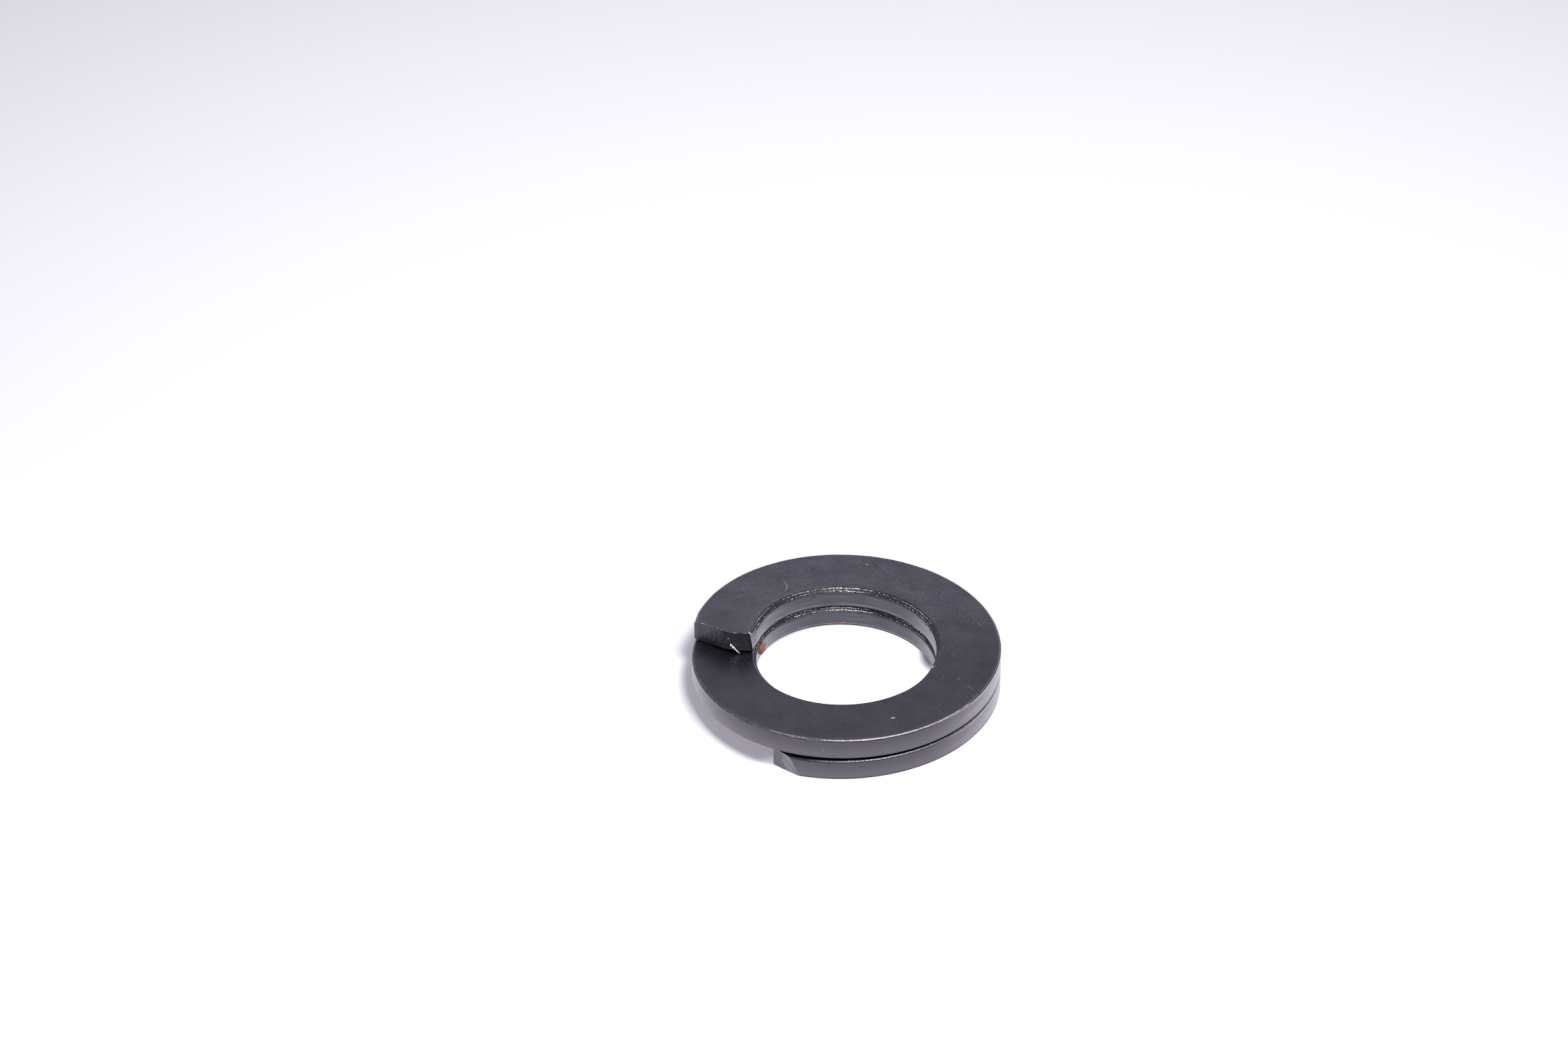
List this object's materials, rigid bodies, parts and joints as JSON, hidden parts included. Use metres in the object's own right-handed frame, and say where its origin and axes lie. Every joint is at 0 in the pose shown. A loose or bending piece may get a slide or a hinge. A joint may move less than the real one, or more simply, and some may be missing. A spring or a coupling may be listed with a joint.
{
  "type": "double-coil spring washer",
  "caption": "Helical spring washer: flat steel wire wound on edge in almost two stacked turns round a bolt hole, with a narrow gap between the turns and sheared, corner-cut ends.",
  "frame": {"origin": "on the axis of the bolt hole, level with the washer's lowest edge", "axes": "+Z along the hole's axis, up towards the upper end of the coil; seen from above, the wire runs clockwise and down from its upper end, which points to -X"},
  "size_m": [0.0249, 0.0248, 0.0054],
  "materials": {
    "blackened_steel": "satin black oxide with fine pits, bare bright metal where the outer top edge has rubbed, rough rolled edges at the hole"
  },
  "bodies": {
    "root": {"spring_washer": "blackened_steel"}
  },
  "joints": []
}
